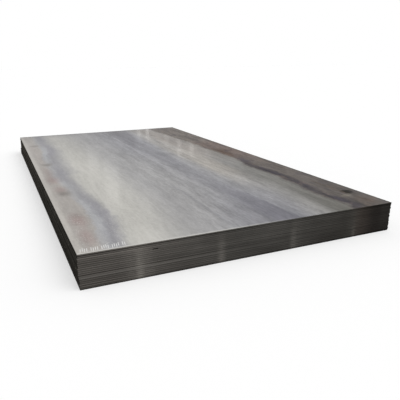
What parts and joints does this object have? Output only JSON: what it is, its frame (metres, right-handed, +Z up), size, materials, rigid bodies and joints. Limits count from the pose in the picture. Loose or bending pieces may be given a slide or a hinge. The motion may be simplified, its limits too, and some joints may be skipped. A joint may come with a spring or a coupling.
{
  "type": "stack of steel plates",
  "caption": "Stack of equal hot-rolled steel plates with mill scale and sheared edges, lying flat one on another, as raw stock for cutting and fabrication.",
  "frame": {"origin": "middle of the stack's underside, on the floor", "axes": "+X across the plates, +Y along the rolling direction, +Z up"},
  "size_m": [1.5102, 3.0082, 0.144],
  "materials": {
    "hot_rolled_steel": "satin grey mill scale, with dark sheared edges"
  },
  "bodies": {
    "root": {"plate_01": "hot_rolled_steel", "plate_02": "hot_rolled_steel", "plate_03": "hot_rolled_steel", "plate_04": "hot_rolled_steel", "plate_05": "hot_rolled_steel", "plate_06": "hot_rolled_steel", "plate_07": "hot_rolled_steel", "plate_08": "hot_rolled_steel", "plate_09": "hot_rolled_steel", "plate_10": "hot_rolled_steel", "plate_11": "hot_rolled_steel", "plate_12": "hot_rolled_steel", "plate_13": "hot_rolled_steel", "plate_14": "hot_rolled_steel", "plate_15": "hot_rolled_steel", "plate_16": "hot_rolled_steel", "plate_17": "hot_rolled_steel", "plate_18": "hot_rolled_steel"}
  },
  "joints": []
}
